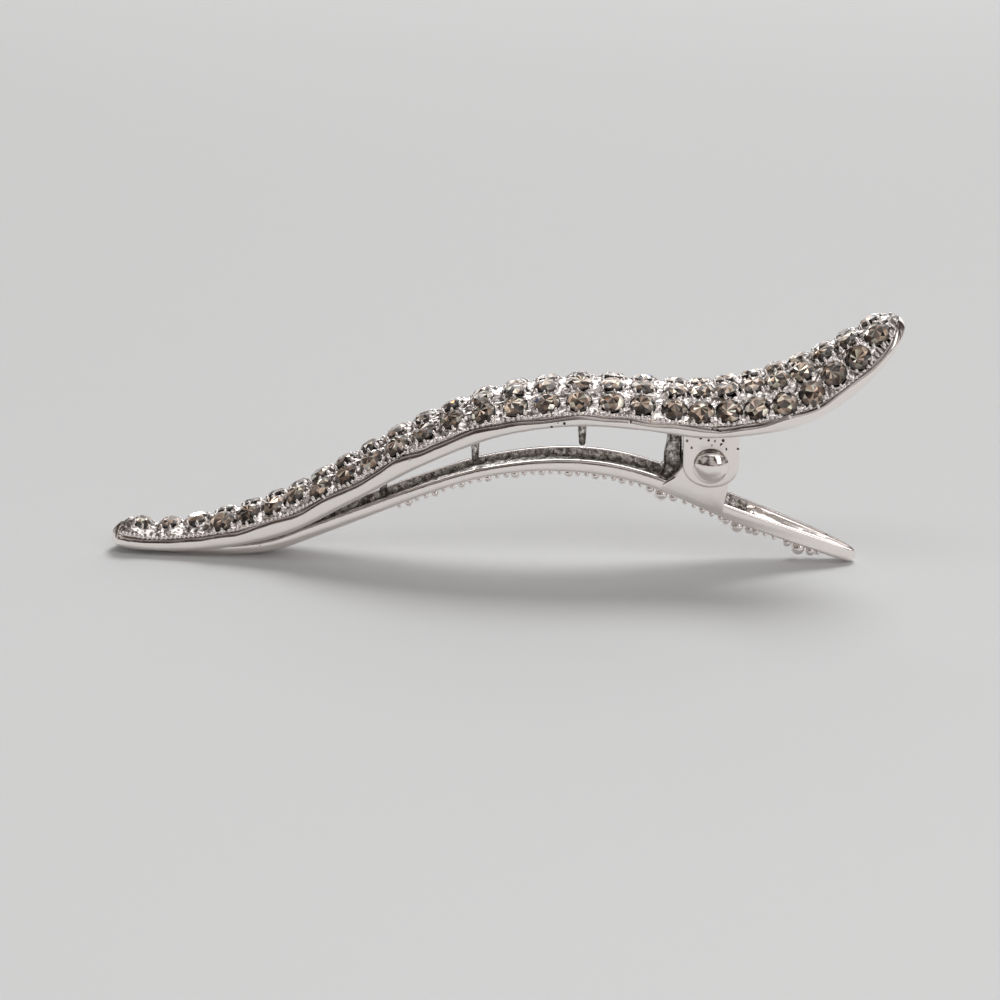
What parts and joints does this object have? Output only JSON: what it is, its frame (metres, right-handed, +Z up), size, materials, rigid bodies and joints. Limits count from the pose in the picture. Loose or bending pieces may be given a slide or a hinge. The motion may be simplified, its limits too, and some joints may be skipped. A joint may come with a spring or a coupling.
{
  "type": "beak hair clip",
  "caption": "Spring-loaded beak hair clip: a domed S-curved upper jaw set with rows of round smoky stones, riveted over a slim cast lower jaw with thumb grips.",
  "frame": {"origin": "middle of the flat under the nose, on the surface that the shut clip stands on; the hinge rivet's centre is 54.5 mm along +X and 11.6 mm up", "axes": "the nose points along -X and the thumb grips along +X, the rivet lies along Y, and +Z is up, away from the surface that the shut clip stands on"},
  "size_m": [0.0847, 0.0122, 0.0275],
  "materials": {
    "rhodium_plate": "bright rhodium-coloured plating on a zinc casting, polished outside and rough as cast inside",
    "spring_steel": "drawn wire, slightly dull",
    "smoky_stone": "faceted smoky grey glass with a foiled back"
  },
  "bodies": {
    "lower": {"lower_jaw": "rhodium_plate"},
    "upper": {"upper_jaw": "rhodium_plate", "hinge_rivet": "rhodium_plate", "torsion_spring": "spring_steel", "stone_row_01": "smoky_stone", "stone_row_02": "smoky_stone", "stone_row_03": "smoky_stone", "stone_row_04": "smoky_stone", "stone_row_05": "smoky_stone", "stone_row_06": "smoky_stone", "stone_row_07": "smoky_stone", "stone_row_08": "smoky_stone", "stone_row_09": "smoky_stone", "stone_row_10": "smoky_stone", "stone_row_11": "smoky_stone", "stone_row_12": "smoky_stone", "stone_row_13": "smoky_stone", "stone_row_14": "smoky_stone", "stone_row_15": "smoky_stone", "stone_row_16": "smoky_stone", "stone_row_17": "smoky_stone", "stone_row_18": "smoky_stone", "stone_row_19": "smoky_stone", "stone_row_20": "smoky_stone", "stone_row_21": "smoky_stone", "stone_row_22": "smoky_stone", "stone_row_23": "smoky_stone", "stone_row_24": "smoky_stone", "stone_row_25": "smoky_stone", "stone_row_26": "smoky_stone", "stone_row_27": "smoky_stone", "stone_row_28": "smoky_stone"}
  },
  "joints": [
    {"name": "jaw_pivot", "type": "hinge", "parent": "lower", "child": "upper", "pos_m": [0.0545, 0, 0.0116], "axis": [0, 1, 0], "range_deg": [0, 42], "deforming": ["torsion_spring"]}
  ]
}
